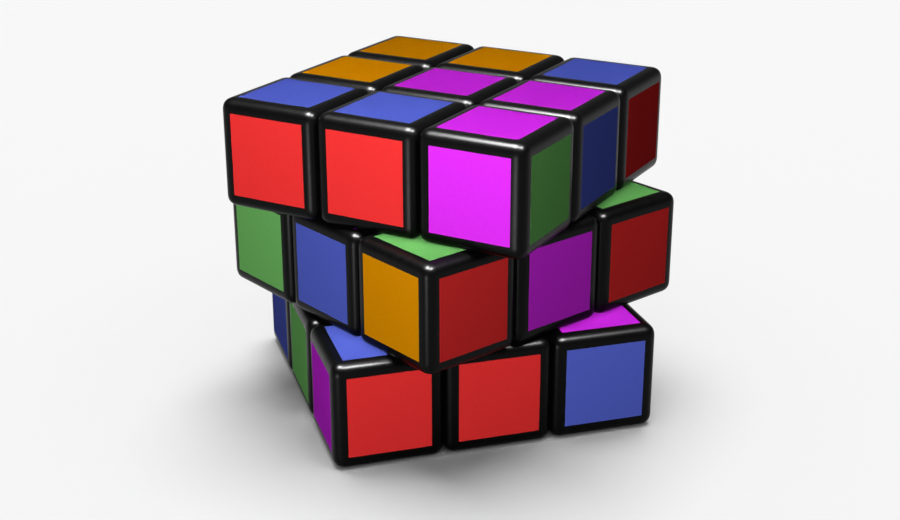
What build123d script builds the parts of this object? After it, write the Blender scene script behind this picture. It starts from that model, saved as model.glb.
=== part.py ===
from build123d import *
from math import cos, pi, sin
import os

# A three-layer twisty puzzle cube with the classic grooved mechanism.
#
# Twenty-six rounded black cubies stand round a six-armed core. Sprung screws hold the six centres to the
# core's arms. The twelve edges and eight corners each have a foot, which runs in round grooves behind the
# neighbouring cubies, so that every layer can turn and no cubie can come out. Flat colour tiles lie in
# shallow pockets, flush with the plastic round them.
#
# The cube stands on its bottom face, with its middle over the origin. The top and the bottom layer turn
# about Z, and both stand part-way through a turn. The middle layer and the core are square to X and Y.

# Driving dimensions, in millimetres and degrees.
pitch = 19.0              # spacing of the cubies
cubie_gap = 0.1           # air between the flat sides of two cubies
edge_round = 1.5          # rounding of a cubie's outer edges
wall = 1.6                # wall of the hollow mouldings
top_turn = 21.0           # how far the top layer has been turned
bottom_turn = -23.2       # how far the bottom layer has been turned

tile_side = 14.3          # side of a square colour tile
tile_thick = 0.8
tile_gap = 0.05           # air between a tile and the rim of its pocket
tile_inset = 1.0          # plastic left between the roots of the feet and the tiles on the inner faces

foot_drop = 3.0           # how far a foot reaches inwards past the plane between two layers
groove_radius = 17.0      # radius of the grooves that the feet run in
foot_play = 0.1           # air on each side of a foot in its groove
foot_side_count = 16      # sides of the bar that the feet are cut from
root_depth = 4.0          # how deep the root of a foot sits in its shell
edge_relief = 11.0        # radius of the hollow on the inner side of an edge's foot
corner_relief = 3.0       # how far the flat across the tip of a corner's foot cuts along its edges

hub_side = 8.4            # side of the core's cubic hub
hub_chamfer = 1.2
arm_side = 5.2            # side of a square arm
arm_reach = 9.0           # from the middle of the core to the end of an arm
floor_thick = 1.6         # floor that a centre's spring presses on

screw_radius = 1.25
screw_length = 13.5       # below the head
screw_hole_play = 0.2     # air round the screw in a centre's floor
thread_play = 0.02        # air round the screw in an arm
screw_tip_room = 0.4      # depth of an arm's hole past the tip
screw_side_count = 12     # sides that the screws and their holes are drawn with
head_radius = 3.2
head_height = 1.6
recess_span = 3.2         # cross recess in a screw's head
recess_width = 0.9
recess_depth = 1.0

spring_length = 6.5       # as fitted, between a centre's floor and the head of its screw
spring_radius = 2.5       # to the middle of the wire
spring_wire = 0.6         # side of the square wire
spring_turn_count = 3
spring_side_count = 8     # straight stretches that each turn is drawn with
spring_play = 0.1         # air at each end of a spring

seam_margin = 0.2         # plastic between a centre's inner tiles and the seam under its lid
skirt_depth = 1.5         # skirt that holds the lid in its centre
skirt_thick = 1.0
skirt_play = 0.05         # air between the skirt and its centre

# Sizes that follow from them, measured outwards from the middle of the core.
half = 1.5 * pitch                                  # the cube's outer faces
inner = pitch / 2 + cubie_gap / 2                   # inner face of an outer layer's cubies
side = pitch / 2 - cubie_gap / 2                    # side face of a cubie that an axis runs through
foot_low = pitch / 2 - foot_drop + foot_play        # inner face of a foot
foot_side = pitch / 2 - foot_drop - foot_play       # side face of an edge's foot
foot_radius = groove_radius - foot_play
groove_wall = groove_radius + foot_play
cavity_radius = groove_wall + wall                  # leaves a full wall behind each groove
tile_back = tile_thick + wall                       # leaves a full wall behind each tile
root_high = inner + root_depth
inner_tile_reach = root_high * 2 ** 0.5 + tile_inset  # from the Z axis to the nearest part of an inner tile
floor_high = arm_reach + floor_thick
head_low = floor_high + spring_length
screw_end = head_low - screw_length
pocket_side = tile_side + 2 * tile_gap
seam = (inner + half + pocket_side) / 2 + seam_margin  # joint between a centre and its lid
far = 2 * half                                      # past everything that it cuts

# Colours of the tiles. A string of three runs along +X or +Y, and a list of three strings runs along +Y.
COLOURS = {"R": "red", "O": "orange", "Y": "yellow", "G": "green", "B": "blue", "M": "magenta"}
OUTER_TILES = {
    "top": {"front": "RRM", "right": "GBR", "back": "GYO", "left": "YGB", "up": ["BBM", "OMM", "OOB"]},
    "middle": {"front": "GBO", "right": "RMR", "back": "OYG", "left": "GMY"},
    "bottom": {"front": "BGM", "right": "RRB", "back": "YOR", "left": "MGY", "down": ["YOG", "RYM", "BOY"]},
}
# Tiles between the layers, which show while a layer is part-way round. Each face is open in the middle.
INNER_TILES = {
    "top": {"down": ["OGR", "Y B", "MRY"]},
    "middle": {"up": ["RMG", "B O", "YOG"], "down": ["BRY", "G M", "OBR"]},
    "bottom": {"up": ["RYB", "O G", "GBM"]},
}
FACING = {
    "front": (0, -1, 0), "back": (0, 1, 0), "left": (-1, 0, 0),
    "right": (1, 0, 0), "up": (0, 0, 1), "down": (0, 0, -1),
}

LAYERS = {1: "top", 0: "middle", -1: "bottom"}
PLACES = {
    "top": Pos(0, 0, half) * Rot(0, 0, top_turn),
    "middle": Pos(0, 0, half),
    "bottom": Pos(0, 0, half) * Rot(0, 0, bottom_turn),
}

# Quarter turns about Z, and the moves that carry a piece made on the +Z arm to each of the six arms.
AROUND = [Rot(0, 0, 90 * quarter) for quarter in range(4)]
UPSIDE_DOWN = Rot(180, 0, 0)
ARMS = [Location(), UPSIDE_DOWN] + [turn * Rot(0, 90, 0) for turn in AROUND]
ON_AXIS = {"x": Rot(0, 90, 0), "y": Rot(-90, 0, 0), "z": Location()}


def block(low, high):
    """A box from one corner to the opposite one."""
    size = [b - a for a, b in zip(low, high)]
    return Pos(*low) * Box(*size, align=(Align.MIN, Align.MIN, Align.MIN))


def rod(radius, low=-far, high=far, axis="z", side_count=None):
    """A rod on one of the core's axes, between two distances from the middle of the core.

    It is round, or has so many flat sides, with its corners at the radius.
    """
    section = RegularPolygon(radius, side_count) if side_count else Circle(radius)
    return ON_AXIS[axis] * Pos(0, 0, low) * extrude(section, high - low)


def past_plane(shape, direction, reach):
    """What lies past a flat plane that faces a direction, at a reach from the middle of the core."""
    facing = Vector(*direction).normalized()
    return split(shape, bisect_by=Plane(facing * reach, z_dir=facing), keep=Keep.TOP)


def landing(cell, move):
    """The cell that a move carries a cell to."""
    return tuple(round(value) for value in (move * Pos(*cell)).position)


# Cubies. A cell is three numbers, each -1, 0 or 1, that say where a cubie is along X, Y and Z.

def cell_span(place):
    """Where a cubie begins and ends along one axis."""
    return {1: (inner, half), 0: (-side, side), -1: (-half, -inner)}[place]


def cubie_blank(cell):
    """The outer form of a cubie: what three bars have in common, each rounded along its outer edges."""
    spans = [cell_span(place) for place in cell]
    blank = None
    for along, axis in enumerate((Axis.X, Axis.Y, Axis.Z)):
        low = [a - edge_round if i == along else a for i, (a, b) in enumerate(spans)]
        high = [b + edge_round if i == along else b for i, (a, b) in enumerate(spans)]
        bar = block(low, high)
        across = [i for i in range(3) if i != along]
        outer = [
            edge for edge in bar.edges().filter_by(axis)
            if any(abs(tuple(edge.center())[i]) > half - edge_round for i in across)
        ]
        if outer:
            bar = fillet(outer, edge_round)
        blank = bar if blank is None else blank & bar
    return blank


def facings(cell):
    """The directions in which a cubie carries a tile."""
    x, y, z = cell
    outward = [(x, 0, 0), (0, y, 0), (0, 0, z)]
    on_rim = x != 0 or y != 0
    inward = [(0, 0, sign) for sign in (1, -1) if on_rim and z != sign]
    return [way for way in outward if any(way)] + inward


def tile_form(cell, facing, across, reach):
    """A square plate let into one face of a cubie. On an inner face it is cut straight at a reach from Z."""
    low, high = [], []
    for place, way in zip(cell, facing):
        a, b = cell_span(place)
        if way:
            surface = b if way > 0 else a
            ends = sorted((surface, surface - way * tile_thick))
        else:
            middle = (a + b) / 2
            ends = (middle - across / 2, middle + across / 2)
        low.append(ends[0])
        high.append(ends[1])
    plate = block(low, high)
    if facing[2] and facing[2] != cell[2]:
        plate = past_plane(plate, (cell[0], cell[1], 0), reach)
    return plate


def tile(cell, facing):
    return tile_form(cell, facing, tile_side, inner_tile_reach)


def with_pockets(shape, cell):
    """Cut the pockets for a cubie's tiles."""
    for facing in facings(cell):
        shape -= tile_form(cell, facing, pocket_side, inner_tile_reach - tile_gap)
    return shape


def corner_root():
    """Where a corner's foot plugs into the inner corner of its shell."""
    return block([inner] * 3, [root_high] * 3)


def corner_shell():
    """Shell of the corner at +X +Y +Z."""
    hollow = block([inner + tile_back] * 3, [half - tile_back] * 3)
    return cubie_blank((1, 1, 1)) - hollow - corner_root()


def corner_foot():
    """Foot of the corner at +X +Y +Z. It lies behind three centres and three edges."""
    foot = block([foot_low] * 3, [foot_radius] * 3)
    for axis in ON_AXIS:
        foot &= rod(foot_radius, axis=axis, side_count=foot_side_count)
    foot -= block([inner] * 3, [far] * 3)
    tip_reach = (3 * foot_low + corner_relief) / 3 ** 0.5
    return past_plane(foot, (1, 1, 1), tip_reach) + corner_root()


def edge_root():
    """Where an edge's foot plugs into its shell."""
    return block((inner, -foot_side, inner), (root_high, foot_side, root_high))


def edge_shell():
    """Shell of the edge at +X +Z, with the groove that the feet of its two corners run in."""
    low, high = inner + tile_back, half - tile_back
    hollow = past_plane(block((low, wall - side, low), (high, side - wall, high)), (1, 0, 1), cavity_radius)
    return cubie_blank((1, 0, 1)) - rod(groove_wall, axis="y") - hollow - edge_root()


def edge_foot():
    """Foot of the edge at +X +Z. One arm lies behind each of the two centres beside it."""
    under_x = block((foot_low, -foot_side, foot_low), (foot_radius, foot_side, inner))
    under_z = block((foot_low, -foot_side, foot_low), (inner, foot_side, foot_radius))
    under_x &= rod(foot_radius, side_count=foot_side_count)
    under_z &= rod(foot_radius, axis="x", side_count=foot_side_count)
    return under_x + under_z + edge_root() - rod(edge_relief, axis="y", side_count=foot_side_count)


def centre_body():
    """The centre on the +Z arm: a square post on the arm, and a cap whose rim holds its neighbours' feet."""
    body = cubie_blank((0, 0, 1)) & block((-far, -far, 0), (far, far, seam))
    body += block((-foot_side, -foot_side, arm_reach), (foot_side, foot_side, seam))
    for axis in ("x", "y"):
        for start, end in ((foot_side, far), (-far, -foot_side)):
            body -= rod(groove_wall, start, end, axis)
    body -= block((wall - side, wall - side, cavity_radius), (side - wall, side - wall, seam))
    room = foot_side - wall
    body -= block((-room, -room, floor_high), (room, room, far))
    return body - rod(screw_radius + screw_hole_play, side_count=screw_side_count)


def centre_lid():
    """Lid that closes a centre over its screw."""
    skirt_side = side - wall - skirt_play
    skirt = block((-skirt_side, -skirt_side, seam - skirt_depth), (skirt_side, skirt_side, seam))
    room = skirt_side - skirt_thick
    skirt -= block((-room, -room, 0), (room, room, seam))
    return (cubie_blank((0, 0, 1)) & block((-far, -far, seam), (far, far, far))) + skirt


# The core and what holds the centres to it.

def core():
    """Hub with six drilled arms."""
    hub = Box(hub_side, hub_side, hub_side)
    hub = chamfer(hub.edges(), hub_chamfer)
    for arm in ARMS:
        hub += arm * block((-arm_side / 2, -arm_side / 2, 0), (arm_side / 2, arm_side / 2, arm_reach))
    bore = rod(screw_radius + thread_play, screw_end - screw_tip_room, far, side_count=screw_side_count)
    for arm in ARMS:
        hub -= arm * bore
    return hub


def screw():
    """Screw in the +Z arm, with a cross recess in its broad head."""
    top = head_low + head_height
    slot = Box(recess_span, recess_width, 2 * recess_depth)
    cross = slot + Rot(0, 0, 90) * slot
    shank = rod(screw_radius, screw_end, head_low, side_count=screw_side_count)
    head = rod(head_radius, head_low, top, side_count=screw_side_count)
    return shank + head - Pos(0, 0, top) * cross


def spring():
    """Compression spring of square wire round the screw in the +Z arm."""
    first = floor_high + spring_play + spring_wire / 2
    rise = spring_length - 2 * spring_play - spring_wire
    angle = 2 * pi / spring_side_count
    stretches = spring_turn_count * spring_side_count
    points = [
        (spring_radius * cos(i * angle), spring_radius * sin(i * angle), first + rise * i / stretches)
        for i in range(stretches + 1)
    ]
    path = Polyline(*points)
    section = Plane(origin=path @ 0, z_dir=path % 0, x_dir=(0, 0, 1)) * Rectangle(spring_wire, spring_wire)
    return sweep(section, path, transition=Transition.RIGHT)


# Putting the cube together.

def title(cell):
    """A cubie's name, such as top_front_right."""
    x, y, z = cell
    words = [LAYERS[z]] if z or x and y else []
    words += [{-1: "front", 1: "back"}[y]] if y else []
    words += [{-1: "left", 1: "right"}[x]] if x else []
    return "_".join(words)


def cubies():
    """Every shell, centre and lid by name, and the feet in groups by layer and kind."""
    pieces = {}
    upright_edge = Rot(-90, 0, 0)
    kinds = [
        ("corner", (1, 1, 1), corner_shell(), corner_foot(), [Location(), UPSIDE_DOWN]),
        ("edge", (1, 0, 1), edge_shell(), edge_foot(), [Location(), UPSIDE_DOWN]),
        ("edge", (1, 1, 0), upright_edge * edge_shell(), upright_edge * edge_foot(), [Location()]),
    ]
    for kind, home, shell, foot, flips in kinds:
        shell = with_pockets(shell, home)
        for flip in flips:
            for turn in AROUND:
                cell = landing(home, flip * turn)
                layer = LAYERS[cell[2]]
                move = PLACES[layer] * flip * turn
                pieces[f"{title(cell)}_{kind}"] = [move * shell]
                pieces.setdefault(f"{layer}_{kind}_feet", []).append(move * foot)
    upright_body = centre_body()
    side_body = ON_AXIS["x"].inverse() * with_pockets(ON_AXIS["x"] * upright_body, (1, 0, 0))
    lid = with_pockets(centre_lid(), (0, 0, 1))
    for arm in ARMS:
        cell = landing((0, 0, 1), arm)
        body = upright_body if cell[2] else side_body
        move = PLACES[LAYERS[cell[2]]] * arm
        pieces[f"{title(cell)}_centre"] = [move * body]
        pieces[f"{title(cell)}_centre_lid"] = [move * lid]
    return pieces


def tiles():
    """All tiles, in groups by layer and colour."""
    pieces = {}
    level = {name: z for z, name in LAYERS.items()}
    for plan in (OUTER_TILES, INNER_TILES):
        for layer, faces in plan.items():
            for face, rows in faces.items():
                for cell, letter in tile_cells(face, rows, level[layer]):
                    node = f"{layer}_{COLOURS[letter]}_tiles"
                    piece = PLACES[layer] * tile(cell, FACING[face])
                    pieces.setdefault(node, []).append(piece)
    return pieces


def tile_cells(face, rows, z):
    """The cell and colour letter of each tile on one face of a layer."""
    x, y, up = FACING[face]
    if up:
        return [((i - 1, j - 1, z), letter) for j, row in enumerate(rows) for i, letter in enumerate(row)
                if letter != " "]
    return [((x or i - 1, y or i - 1, z), letter) for i, letter in enumerate(rows)]


def mechanism():
    """The core, its six screws and their springs."""
    pieces = {"core": [PLACES["middle"] * core()]}
    for name, piece in (("core_screws", screw()), ("tension_springs", spring())):
        pieces[name] = [PLACES["middle"] * arm * piece for arm in ARMS]
    return pieces


def solid_group(pieces):
    """One solid, or a group of separate solids."""
    solids = [solid for piece in pieces for solid in piece.solids()]
    return solids[0] if len(solids) == 1 else Compound(solids)


os.makedirs("parts", exist_ok=True)
for name, pieces in {**mechanism(), **cubies(), **tiles()}.items():
    export_step(solid_group(pieces), f"parts/{name}.step")
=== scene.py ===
"""The looks of the twisty puzzle cube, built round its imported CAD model.

Each cubie gets a finer shell, rounded along all twelve of its edges. The colour tiles, the feet, the
core, its screws and its springs are the CAD solids with better materials. Lengths are in metres.
"""
from functools import cache
from math import atan2, cos, pi, radians, remainder, sin, sqrt

import bmesh
import bpy
from mathutils import Matrix, Vector


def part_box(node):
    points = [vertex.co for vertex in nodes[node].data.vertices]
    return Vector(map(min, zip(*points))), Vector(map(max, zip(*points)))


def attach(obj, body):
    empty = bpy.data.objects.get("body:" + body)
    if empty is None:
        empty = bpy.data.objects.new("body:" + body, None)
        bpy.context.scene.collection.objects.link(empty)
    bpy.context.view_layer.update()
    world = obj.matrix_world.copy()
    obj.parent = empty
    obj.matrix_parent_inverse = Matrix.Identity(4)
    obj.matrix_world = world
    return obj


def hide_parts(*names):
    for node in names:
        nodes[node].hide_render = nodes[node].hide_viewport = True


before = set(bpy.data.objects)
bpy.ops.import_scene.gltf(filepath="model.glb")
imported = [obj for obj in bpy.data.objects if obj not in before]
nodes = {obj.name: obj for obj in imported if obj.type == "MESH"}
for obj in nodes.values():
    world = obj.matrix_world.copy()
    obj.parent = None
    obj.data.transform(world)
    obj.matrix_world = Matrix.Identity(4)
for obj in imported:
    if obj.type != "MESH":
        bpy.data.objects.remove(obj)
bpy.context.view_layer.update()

# Sizes that the CAD boxes don't give.
EDGE_REACH = 0.0023       # how far from each edge of a cubie its rounding begins
EDGE_FULLNESS = 0.60      # profile of the rounding: 0.5 is an arc, more keeps closer to the edge
EDGE_STEPS = 10           # faces across a rounded edge
GROOVE_STEPS = 96         # faces round a groove
HOLE_STEPS = 48           # faces round a screw hole
CREASE = radians(35)      # faces that meet at a wider angle keep a sharp edge between them
TILE_SIDE = 0.0143
TILE_THICK = 0.0008
TILE_GAP = 0.00001        # air between a tile and the rim of its pocket
TILE_INSET = 0.0010       # plastic between the roots of the feet and the tiles on the inner faces
ROOT_DEPTH = 0.0040       # how deep a foot's root sits in its shell
FOOT_PLAY = 0.0002        # air between a foot and the wall of its groove
FLOOR_THICK = 0.0016      # floor of a centre, round its screw
LID_THICK = 0.0022        # top of a centre, over its screw
SCREW_ROOM = 0.00145      # radius of the hole that a screw goes through
SPRING_ROOM = 0.0048      # half the width of the hollow round a spring

# The camera, seen from the middle of the cube.
VIEW_AZIMUTH = radians(50.0)
VIEW_ELEVATION = radians(21.2)
VIEW_ROLL = radians(-0.05)
VIEW_DISTANCE = 0.2650
VIEW_ASIDE = -0.0001
VIEW_RISE = -0.0044
VIEW_LENS = 58.7          # in mm, for the sensor
SENSOR_WIDTH = 36         # in mm

# The studio. Tones run from 0 to 1, which is white.
FLOOR_HALF = 3.0          # half the width of the floor
FLOOR_TONE = 0.95         # colour of the floor as it is seen
FLOOR_BOUNCE = 0.02       # colour of the floor for the light that it throws back
HORIZON_TONE = 0.6        # colour of the sky at the horizon, as it is seen
SKY_TONE = 0.12           # colour of the sky higher up, as it is seen
SKY_START = radians(18)   # elevation from which the sky has its own tone
WORLD_LIGHT = 0.004       # strength of the world as a light

# Places read from the frame.
edge_low, edge_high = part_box("middle_back_right_edge")
middle = (edge_low.z + edge_high.z) / 2                 # height of the middle of the core
inner, half = edge_low.x, edge_high.x                   # inner and outer faces of an outer cubie
side = (edge_high.z - edge_low.z) / 2                   # half the width of a cubie
feet_low, feet_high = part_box("middle_edge_feet")
groove_wall = feet_high.x + FOOT_PLAY                   # radius of a groove
foot_side = (feet_high.z - feet_low.z) / 2              # half the width of a foot on an edge piece
arm_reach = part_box("core")[1].x                         # end of an arm of the core
root_high = inner + ROOT_DEPTH                          # end of a foot's root in its shell
inner_tile_reach = root_high * sqrt(2) + TILE_INSET     # where a tile on an inner face begins, from Z
far = 2 * half                                          # outside the cube, for the ends of cutters

LAYERS = {1: "top", 0: "middle", -1: "bottom"}
BODIES = {1: "top_layer", 0: "core_and_middle_layer", -1: "bottom_layer"}


def layer_turn(z):
    """A layer's turn about Z, from -45 to 45 degrees, read from the face of one of its side tiles."""
    tiles = nodes[f"{LAYERS[z]}_red_tiles"]
    upright = [face for face in tiles.data.polygons if abs(face.normal.z) < 0.5]
    facing = tiles.matrix_world.to_3x3() @ max(upright, key=lambda face: face.area).normal
    return remainder(atan2(facing.y, facing.x), pi / 2)


# Meshes.

def linked(name, bm):
    """An object in the scene from a bmesh, which is used up."""
    mesh = bpy.data.meshes.new(name)
    bm.to_mesh(mesh)
    bm.free()
    piece = bpy.data.objects.new(name, mesh)
    bpy.context.scene.collection.objects.link(piece)
    return piece


def block_mesh(low, high):
    """A box from one corner to the opposite one."""
    bm = bmesh.new()
    bmesh.ops.create_cube(bm, size=1)
    for vert in bm.verts:
        vert.co = [b if place > 0 else a for place, a, b in zip(vert.co, low, high)]
    return bm


def rounded_block(name, low, high):
    """A box whose twelve edges are rounded."""
    bm = block_mesh(low, high)
    bmesh.ops.bevel(
        bm, geom=bm.edges[:], offset=EDGE_REACH, offset_type="OFFSET", segments=EDGE_STEPS,
        profile=EDGE_FULLNESS, affect="EDGES", clamp_overlap=False,
    )
    return linked(name, bm)


def block(low, high):
    """A box, for cutting."""
    return linked("cutter", block_mesh(low, high))


def rod(radius, low, high, axis, steps=GROOVE_STEPS):
    """A cylinder on one of the core's axes, for cutting."""
    bm = bmesh.new()
    bmesh.ops.create_cone(
        bm, cap_ends=True, segments=steps, radius1=radius, radius2=radius, depth=high - low,
    )
    bmesh.ops.translate(bm, verts=bm.verts, vec=(0, 0, (low + high) / 2))
    turn = {
        "X": Matrix.Rotation(radians(90), 4, "Y"),
        "Y": Matrix.Rotation(radians(-90), 4, "X"),
        "Z": Matrix.Identity(4),
    }[axis]
    bmesh.ops.transform(bm, matrix=turn, verts=bm.verts)
    return linked("cutter", bm)


def carve(piece, cutters):
    """The mesh of a piece with the cutters cut out of it. Uses up the piece and the cutters."""
    for cutter in cutters:
        cut = piece.modifiers.new("cut", "BOOLEAN")
        cut.operation = "DIFFERENCE"
        cut.solver = "EXACT"
        cut.object = cutter
    bpy.context.view_layer.update()
    graph = bpy.context.evaluated_depsgraph_get()
    mesh = bpy.data.meshes.new_from_object(piece.evaluated_get(graph))
    bpy.data.objects.remove(piece)
    for cutter in cutters:
        bpy.data.objects.remove(cutter)
    return mesh


# Cubies. A cell is three numbers, each -1, 0 or 1, that say where a cubie is along X, Y and Z.

def cell_span(place):
    """Where a cubie begins and ends along one axis."""
    return {1: (inner, half), 0: (-side, side), -1: (-half, -inner)}[place]


def facings(cell):
    """The directions in which a cubie carries a tile."""
    x, y, z = cell
    outer = [(x, 0, 0), (0, y, 0), (0, 0, z)]
    inner_faces = [(0, 0, sign) for sign in (1, -1) if (x or y) and z != sign]
    return [facing for facing in outer if any(facing)] + inner_faces


def pocket(cell, facing):
    """Cutter for the pocket of one tile. On an inner face, its end towards Z is cut off straight."""
    across = TILE_SIDE / 2 + TILE_GAP
    low, high = [], []
    for place, way in zip(cell, facing):
        start, end = cell_span(place)
        centre = {1: end, 0: (start + end) / 2, -1: start}[way]
        reach = TILE_THICK if way else across
        low.append(centre - reach)
        high.append(centre + reach)
    bm = block_mesh(low, high)
    if facing[2] and facing[2] != cell[2]:
        away = Vector((cell[0], cell[1], 0)).normalized()
        bmesh.ops.bisect_plane(
            bm, geom=bm.verts[:] + bm.edges[:] + bm.faces[:], plane_no=away,
            plane_co=away * (inner_tile_reach - TILE_GAP), clear_inner=True,
        )
        bmesh.ops.holes_fill(bm, edges=bm.edges[:])
    return linked("cutter", bm)


def cubie_mesh(name, cell, cutters, low=None):
    """A cubie's shell, with its pockets and with room for the mechanism."""
    spans = [cell_span(place) for place in cell]
    lows = low or [a for a, b in spans]
    shell = rounded_block(name, lows, [b for a, b in spans])
    return carve(shell, [pocket(cell, facing) for facing in facings(cell)] + cutters)


def corner_mesh():
    """The corner at +X, +Y and +Z."""
    return cubie_mesh("corner", (1, 1, 1), [block([0] * 3, [root_high] * 3)])


def edge_mesh():
    """The edge piece at +X and +Z, with the groove round Y."""
    root = block((0, -foot_side, 0), (root_high, foot_side, root_high))
    return cubie_mesh("edge", (1, 0, 1), [rod(groove_wall, -far, far, "Y"), root])


def upright_edge_mesh():
    """The edge piece at +X and +Y, with the groove round Z."""
    root = block((0, 0, -foot_side), (root_high, root_high, foot_side))
    return cubie_mesh("upright_edge", (1, 1, 0), [rod(groove_wall, -far, far, "Z"), root])


def centre_mesh(cell):
    """A centre with its lid. Its sides are cut back to a square post where the feet run."""
    axis = "XYZ"[cell.index(1)]
    grooves = [
        rod(groove_wall, start, end, other)
        for other in "XYZ" if other != axis
        for start, end in ((foot_side, far), (-far, -foot_side))
    ]
    spring_seat, ceiling = arm_reach + FLOOR_THICK, half - LID_THICK
    room_low = [spring_seat if name == axis else -SPRING_ROOM for name in "XYZ"]
    room_high = [ceiling if name == axis else SPRING_ROOM for name in "XYZ"]
    low = [arm_reach if name == axis else -side for name in "XYZ"]
    hollow = [block(room_low, room_high), rod(SCREW_ROOM, 0, spring_seat + FLOOR_THICK, axis, HOLE_STEPS)]
    return cubie_mesh("centre", cell, grooves + hollow, low)


def title(cell):
    """A cubie's name in the CAD model, such as top_front_right."""
    x, y, z = cell
    words = [LAYERS[z]] if z or x and y else []
    words += [{-1: "front", 1: "back"}[y]] if y else []
    words += [{-1: "left", 1: "right"}[x]] if x else []
    return "_".join(words)


def landing(cell, move):
    """The cell that a move carries a cell to."""
    return tuple(round(value) for value in move @ Vector(cell))


def place_cubies():
    """Puts a finer shell in the place of every CAD shell, centre and lid."""
    turns = [Matrix.Rotation(radians(90 * quarter), 4, "Z") for quarter in range(4)]
    upright, flipped = Matrix.Identity(4), Matrix.Rotation(radians(180), 4, "X")
    both_ways = [flip @ turn for flip in (upright, flipped) for turn in turns]
    kinds = [
        ("corner", (1, 1, 1), corner_mesh(), both_ways),
        ("edge", (1, 0, 1), edge_mesh(), both_ways),
        ("edge", (1, 1, 0), upright_edge_mesh(), turns),
        ("centre", (1, 0, 0), centre_mesh((1, 0, 0)), turns),
        ("centre", (0, 0, 1), centre_mesh((0, 0, 1)), [upright, flipped]),
    ]
    raised = Matrix.Translation((0, 0, middle))
    for kind, home, mesh, moves in kinds:
        finish_mesh(mesh)
        for move in moves:
            cell = landing(home, move)
            node = f"{title(cell)}_{kind}"
            piece = bpy.data.objects.new(f"{node}_shell", mesh.copy())
            bpy.context.scene.collection.objects.link(piece)
            piece.data.transform(raised @ Matrix.Rotation(layer_turn(cell[2]), 4, "Z") @ move)
            smooth = piece.modifiers.new("normals", "WEIGHTED_NORMAL")
            smooth.keep_sharp = True
            stands_for = [node, f"{node}_lid"] if kind == "centre" else [node]
            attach(piece, BODIES[cell[2]])
            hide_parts(*stands_for)


def finish_mesh(mesh):
    """Smooth shading, with sharp creases kept, and the black plastic."""
    mesh.shade_smooth()
    mesh.set_sharp_from_angle(angle=CREASE)
    mesh.materials.clear()
    mesh.materials.append(black_plastic())


# Materials.

TILE_COLOURS = {          # red, green and blue as they show on a screen, from 0 to 255
    "red": (255, 56, 56), "orange": (252, 163, 3), "yellow": (250, 228, 40),
    "green": (134, 220, 119), "blue": (97, 114, 230), "magenta": (233, 49, 255),
}


def new_material(name):
    """A material with a bare Principled shader: (material, its node tree, its shader)."""
    material = bpy.data.materials.new(name)
    material.use_nodes = True
    shader = material.node_tree.nodes["Principled BSDF"]
    return material, material.node_tree, shader


def noise(tree, scale, detail=3.0, roughness=0.6):
    """Noise over an object's own coordinates, at so many grains to the metre."""
    coordinates = tree.nodes.new("ShaderNodeTexCoord")
    texture = tree.nodes.new("ShaderNodeTexNoise")
    texture.inputs["Scale"].default_value = scale
    texture.inputs["Detail"].default_value = detail
    texture.inputs["Roughness"].default_value = roughness
    tree.links.new(coordinates.outputs["Object"], texture.inputs["Vector"])
    return texture.outputs["Fac"]


def spread(tree, source, low, high, start=0.3, end=0.7):
    """A number that runs from low to high as the source goes from start to end."""
    node = tree.nodes.new("ShaderNodeMapRange")
    for name, value in (("From Min", start), ("From Max", end), ("To Min", low), ("To Max", high)):
        node.inputs[name].default_value = value
    tree.links.new(source, node.inputs["Value"])
    return node.outputs["Result"]


def shade(tree, colour, factor):
    """A colour made lighter and darker by a factor that varies about 1."""
    node = tree.nodes.new("ShaderNodeVectorMath")
    node.operation = "SCALE"
    node.inputs[0].default_value = colour
    tree.links.new(factor, node.inputs["Scale"])
    return node.outputs["Vector"]


def bump(tree, shader, height, depth):
    """Fine unevenness of so many metres."""
    node = tree.nodes.new("ShaderNodeBump")
    node.inputs["Strength"].default_value = 1
    node.inputs["Distance"].default_value = depth
    tree.links.new(height, node.inputs["Height"])
    tree.links.new(node.outputs["Normal"], shader.inputs["Normal"])


def linear(red, green, blue):
    """The light, from 0 to 1, of a colour that a screen shows at numbers from 0 to 255."""
    shown = [value / 255 for value in (red, green, blue)]
    return [v / 12.92 if v <= 0.04045 else ((v + 0.055) / 1.055) ** 2.4 for v in shown]


@cache
def black_plastic():
    """Black moulded plastic with a soft gloss and a fine texture."""
    material, tree, shader = new_material("moulded_black")
    mottle = spread(tree, noise(tree, 260), 0.7, 1.3)
    tree.links.new(shade(tree, (0.001, 0.001, 0.00105), mottle), shader.inputs["Base Color"])
    tree.links.new(spread(tree, noise(tree, 900), 0.28, 0.32), shader.inputs["Roughness"])
    shader.inputs["Specular IOR Level"].default_value = 0.06
    bump(tree, shader, noise(tree, 5200, detail=2), 0.000004)
    return material


@cache
def tile_plastic(name):
    """Matt coloured plastic with a fine grain."""
    material, tree, shader = new_material(f"matt_{name}")
    grain = spread(tree, noise(tree, 2600, detail=4, roughness=0.7), 0.95, 1.05)
    tree.links.new(shade(tree, linear(*TILE_COLOURS[name]), grain), shader.inputs["Base Color"])
    tree.links.new(spread(tree, noise(tree, 700), 0.55, 0.7), shader.inputs["Roughness"])
    shader.inputs["Specular IOR Level"].default_value = 0
    bump(tree, shader, noise(tree, 3600, detail=3), 0.000008)
    return material


@cache
def inner_plastic():
    """Matt black nylon of the core and the feet."""
    material, tree, shader = new_material("nylon_black")
    mottle = spread(tree, noise(tree, 400), 0.8, 1.2)
    tree.links.new(shade(tree, (0.03, 0.03, 0.032), mottle), shader.inputs["Base Color"])
    tree.links.new(spread(tree, noise(tree, 1500), 0.5, 0.65), shader.inputs["Roughness"])
    bump(tree, shader, noise(tree, 3000), 0.00001)
    return material


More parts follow.
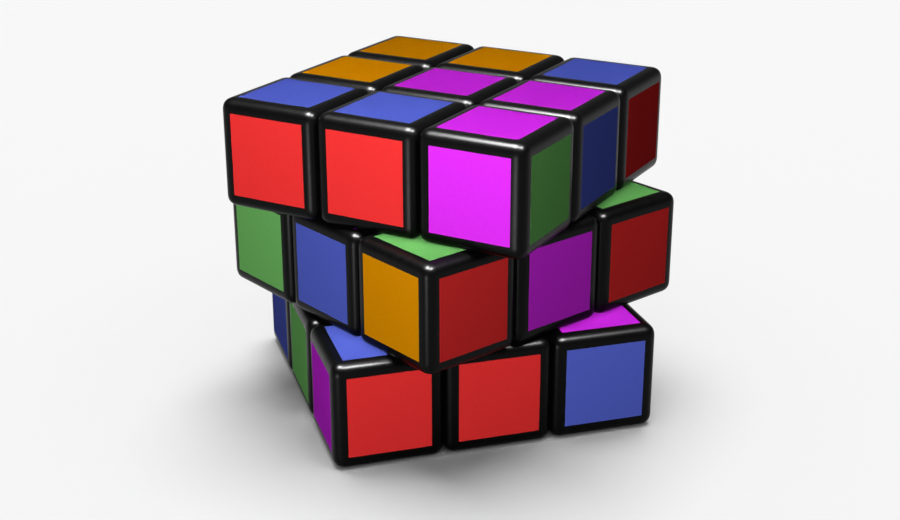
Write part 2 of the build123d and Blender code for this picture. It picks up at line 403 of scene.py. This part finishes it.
@cache
def steel():
    """Bright zinc-plated steel."""
    material, tree, shader = new_material("zinc_steel")
    shader.inputs["Metallic"].default_value = 1.0
    mottle = spread(tree, noise(tree, 1200), 0.85, 1.1)
    tree.links.new(shade(tree, (0.56, 0.57, 0.58), mottle), shader.inputs["Base Color"])
    tree.links.new(spread(tree, noise(tree, 2600), 0.22, 0.4), shader.inputs["Roughness"])
    bump(tree, shader, noise(tree, 4000), 0.000004)
    return material


def dress_cad_nodes():
    """Better materials for the CAD nodes, which throw none of their colour on to what stands near."""
    for name, node in nodes.items():
        if name.endswith("_tiles"):
            material = tile_plastic(name.split("_")[1])
        elif name in ("core_screws", "tension_springs"):
            material = steel()
        elif name == "core" or name.endswith("_feet"):
            material = inner_plastic()
        else:
            material = black_plastic()
        node.data.materials.clear()
        node.data.materials.append(material)
        node.visible_diffuse = False


# The scene round the cube.

def direction(azimuth, elevation):
    """Unit vector towards an azimuth, which is 0 at -Y and 90 degrees at +X, and an elevation."""
    return Vector((sin(azimuth) * cos(elevation), -cos(azimuth) * cos(elevation), sin(elevation)))


def add_camera():
    """The camera, which looks at the cube from the front, the right and above."""
    data = bpy.data.cameras.new("camera")
    data.lens = VIEW_LENS
    data.sensor_width = SENSOR_WIDTH
    data.clip_start = 0.01
    camera = bpy.data.objects.new("camera", data)
    bpy.context.scene.collection.objects.link(camera)
    back = direction(VIEW_AZIMUTH, VIEW_ELEVATION)
    right = Vector((cos(VIEW_AZIMUTH), sin(VIEW_AZIMUTH), 0))
    up = back.cross(right)
    turn = Matrix((right, up, back)).transposed().to_4x4()
    place = Vector((0, 0, middle)) + back * VIEW_DISTANCE + right * VIEW_ASIDE + up * VIEW_RISE
    camera.matrix_world = Matrix.Translation(place) @ turn @ Matrix.Rotation(VIEW_ROLL, 4, "Z")
    bpy.context.scene.camera = camera


def hung(data, azimuth, elevation, distance, heading=0):
    """A lamp that faces the middle of the cube. A long one lies along a heading from +X."""
    lamp = bpy.data.objects.new(data.name, data)
    bpy.context.scene.collection.objects.link(lamp)
    way = direction(radians(azimuth), radians(elevation))
    along = Vector((cos(radians(heading)), sin(radians(heading)), 0))
    along = (along - way * along.dot(way)).normalized()
    turn = Matrix((along, way.cross(along), way)).transposed().to_4x4()
    lamp.matrix_world = Matrix.Translation(Vector((0, 0, middle)) + way * distance) @ turn
    return lamp


def add_lamp(name, azimuth, elevation, distance, size, level):
    """A round lamp, which gloss doesn't show and nothing shades.

    At level 1, a white face at the middle of the cube shows white.
    """
    data = bpy.data.lights.new(name, "AREA")
    data.shape = "DISK"
    data.size = size
    data.energy = level * (pi * distance) ** 2
    data.use_shadow = False
    lamp = hung(data, azimuth, elevation, distance)
    lamp.visible_glossy = False
    return lamp


def add_strip(name, azimuth, elevation, distance, heading, length, width, glow):
    """A lamp that shows only as a gleam on gloss. Its glow counts white as 1."""
    data = bpy.data.lights.new(name, "AREA")
    data.shape = "RECTANGLE"
    data.size, data.size_y = length, width
    data.energy = glow * pi * length * width
    lamp = hung(data, azimuth, elevation, distance, heading)
    lamp.visible_diffuse = False
    return lamp


def add_sun(name, azimuth, elevation, width, level):
    """Soft light from far off, from a disk that is so many degrees wide."""
    data = bpy.data.lights.new(name, "SUN")
    data.angle = radians(width)
    data.energy = level * pi
    return hung(data, azimuth, elevation, 1.0)


def light_group(name, pieces, state):
    """A collection that says which pieces some lamps light, or which they don't."""
    group = bpy.data.collections.new(name)
    for piece in pieces:
        group.objects.link(piece)
    for member in group.collection_objects:
        member.light_linking.link_state = state
    return group


def light_only(name, lamps, pieces):
    """Lets lamps light these pieces alone."""
    group = light_group(name, pieces, "INCLUDE")
    for lamp in lamps:
        lamp.light_linking.receiver_collection = group


def light_all_but(name, lamps, pieces):
    """Keeps lamps off these pieces, which don't block their light either."""
    group = light_group(name, pieces, "EXCLUDE")
    for lamp in lamps:
        lamp.light_linking.receiver_collection = group
        lamp.light_linking.blocker_collection = group


def add_lights(floor):
    """The lamps, and which pieces they light.

    The tiles of the middle layer have a weaker key lamp of their own, and the floor has two suns.
    """
    key = add_lamp("key", 37.5, 40, distance=0.20, size=0.05, level=0.89)
    middle_key = add_lamp("middle_key", 33, 40, distance=0.20, size=0.05, level=0.70)
    floor_suns = [
        add_sun("floor_light", 230, 77, width=42, level=0.70),
        add_sun("floor_fill", 0, 90, width=160, level=0.30),
    ]
    others = [
        add_lamp("back", 218, 0, distance=0.50, size=0.20, level=0.45),
        add_strip("front_gleam", 0, 68, distance=0.18, heading=21, length=0.04, width=0.08, glow=430),
        add_strip("right_gleam", 84, 62, distance=0.25, heading=66.8, length=0.08, width=0.08, glow=320),
        add_strip("corner_gleam", 40, 66, distance=0.25, heading=36, length=0.06, width=0.06, glow=320),
        add_strip("side_gleam", 22, -12, distance=0.25, heading=22, length=0.08, width=0.04, glow=30),
    ]
    middle_tiles = [
        node for name, node in nodes.items()
        if name.startswith("middle_") and name.endswith("_tiles")
    ]
    light_all_but("all_but_floor", others, [floor])
    light_all_but("outer_layers", [key], [floor, *middle_tiles])
    light_only("middle_layer", [middle_key], middle_tiles)
    light_only("floor_alone", floor_suns, [floor])


def seen(tree):
    """1 for what the camera, gloss or glass sees, and 0 for light on its way to something else."""
    path = tree.nodes.new("ShaderNodeLightPath")
    total = path.outputs["Is Camera Ray"]
    for ray in ("Is Glossy Ray", "Is Transmission Ray"):
        either = tree.nodes.new("ShaderNodeMath")
        either.operation = "MAXIMUM"
        tree.links.new(total, either.inputs[0])
        tree.links.new(path.outputs[ray], either.inputs[1])
        total = either.outputs["Value"]
    return total


def add_floor():
    """A plain pale floor, which throws little of its light back at the cube."""
    bm = bmesh.new()
    bmesh.ops.create_grid(bm, x_segments=1, y_segments=1, size=FLOOR_HALF)
    floor = linked("floor", bm)
    material, tree, shader = new_material("pale_floor")
    tone = spread(tree, seen(tree), FLOOR_BOUNCE, FLOOR_TONE, 0, 1)
    tree.links.new(shade(tree, (1, 1, 1), tone), shader.inputs["Base Color"])
    shader.inputs["Roughness"].default_value = 1
    shader.inputs["Specular IOR Level"].default_value = 0
    floor.data.materials.append(material)
    return floor


def add_world():
    """A pale horizon, which darkens upwards and lights the cube only faintly."""
    world = bpy.data.worlds.new("studio")
    bpy.context.scene.world = world
    world.use_nodes = True
    tree = world.node_tree
    background = tree.nodes["Background"]
    background.inputs["Color"].default_value = (1, 1, 1, 1)
    coordinates = tree.nodes.new("ShaderNodeTexCoord")
    split = tree.nodes.new("ShaderNodeSeparateXYZ")
    tree.links.new(coordinates.outputs["Generated"], split.inputs["Vector"])
    sky = spread(tree, split.outputs["Z"], HORIZON_TONE, SKY_TONE, 0, sin(SKY_START))
    shown = tree.nodes.new("ShaderNodeMix")
    shown.inputs["A"].default_value = WORLD_LIGHT
    tree.links.new(seen(tree), shown.inputs["Factor"])
    tree.links.new(sky, shown.inputs["B"])
    tree.links.new(shown.outputs["Result"], background.inputs["Strength"])


dress_cad_nodes()
place_cubies()
add_camera()
add_world()
add_lights(add_floor())
bpy.context.scene.view_settings.view_transform = "Standard"
